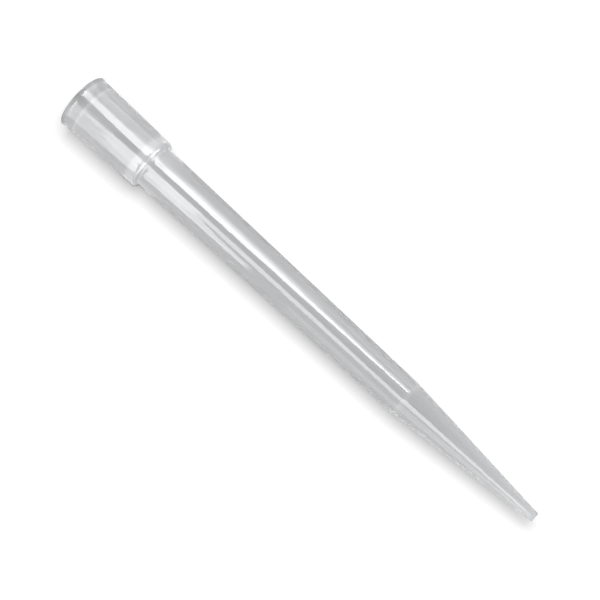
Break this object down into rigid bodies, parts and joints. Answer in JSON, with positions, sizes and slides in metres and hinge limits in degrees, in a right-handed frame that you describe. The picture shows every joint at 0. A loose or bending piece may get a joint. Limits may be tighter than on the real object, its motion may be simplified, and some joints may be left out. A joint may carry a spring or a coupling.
{
  "type": "pipette tip",
  "caption": "Macro pipette tip: a clear tapered plastic tube with a wide socket collar for the pipette's shaft and a fine outlet, for drawing up and dispensing liquid.",
  "frame": {"origin": "centre of the mouth, on the flat of the rim that the tip stands on", "axes": "+Z along the tip's axis, from the mouth up to the outlet; the tip is round, so X and Y are alike"},
  "size_m": [0.0152, 0.0152, 0.15],
  "materials": {
    "natural_polypropylene": "moulded natural polypropylene: clear with a slight milky haze, glossy outside and in"
  },
  "bodies": {
    "root": {"pipette_tip": "natural_polypropylene"}
  },
  "joints": []
}
